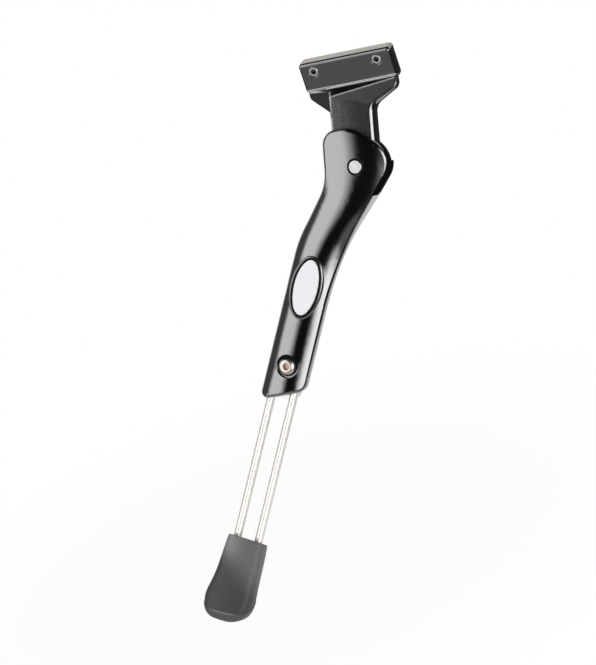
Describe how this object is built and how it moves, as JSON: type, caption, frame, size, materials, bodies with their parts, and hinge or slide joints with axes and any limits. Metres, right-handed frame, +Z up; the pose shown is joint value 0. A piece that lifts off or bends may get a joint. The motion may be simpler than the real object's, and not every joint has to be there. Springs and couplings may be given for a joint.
{
  "type": "bicycle kickstand",
  "caption": "Bicycle kickstand: cast head that is screwed to the frame, folding cast leg with a hold spring, bent wire rod that sets the length, and a rubber foot.",
  "frame": {"origin": "on the head's back face, midway between the two head screws", "axes": "+X along the screw line to the rear of the bicycle, +Y out of the head's back face towards the wheel, +Z up; the leg is stored down, resting on its stop"},
  "size_m": [0.1824, 0.1361, 0.3023],
  "materials": {
    "cast_paint": "satin",
    "leg_paint": "gloss",
    "screw_steel": "satin",
    "spring_steel": "satin",
    "badge_white": "gloss",
    "block_steel": "satin",
    "rod_steel": "polished",
    "foot_rubber": "matte"
  },
  "bodies": {
    "head": {"mount_head": "cast_paint", "mount_screws": "screw_steel"},
    "leg": {"leg_body": "leg_paint", "pivot_pin": "screw_steel", "hold_spring": "spring_steel", "badge": "badge_white", "clamp_screw": "screw_steel", "clamp_block": "block_steel"},
    "rod": {"support_rod": "rod_steel", "rubber_foot": "foot_rubber"}
  },
  "joints": [
    {"name": "leg_fold", "type": "hinge", "parent": "head", "child": "leg", "pos_m": [-0.004, -0.02789, -0.05718], "axis": [0, -0.9298, 0.3681], "range_deg": [0, 115], "deforming": ["hold_spring"]},
    {"name": "length_adjust", "type": "slide", "parent": "leg", "child": "rod", "axis": [-0.4352, -0.3314, -0.8371], "range_m": [-0.025, 0.02]}
  ]
}
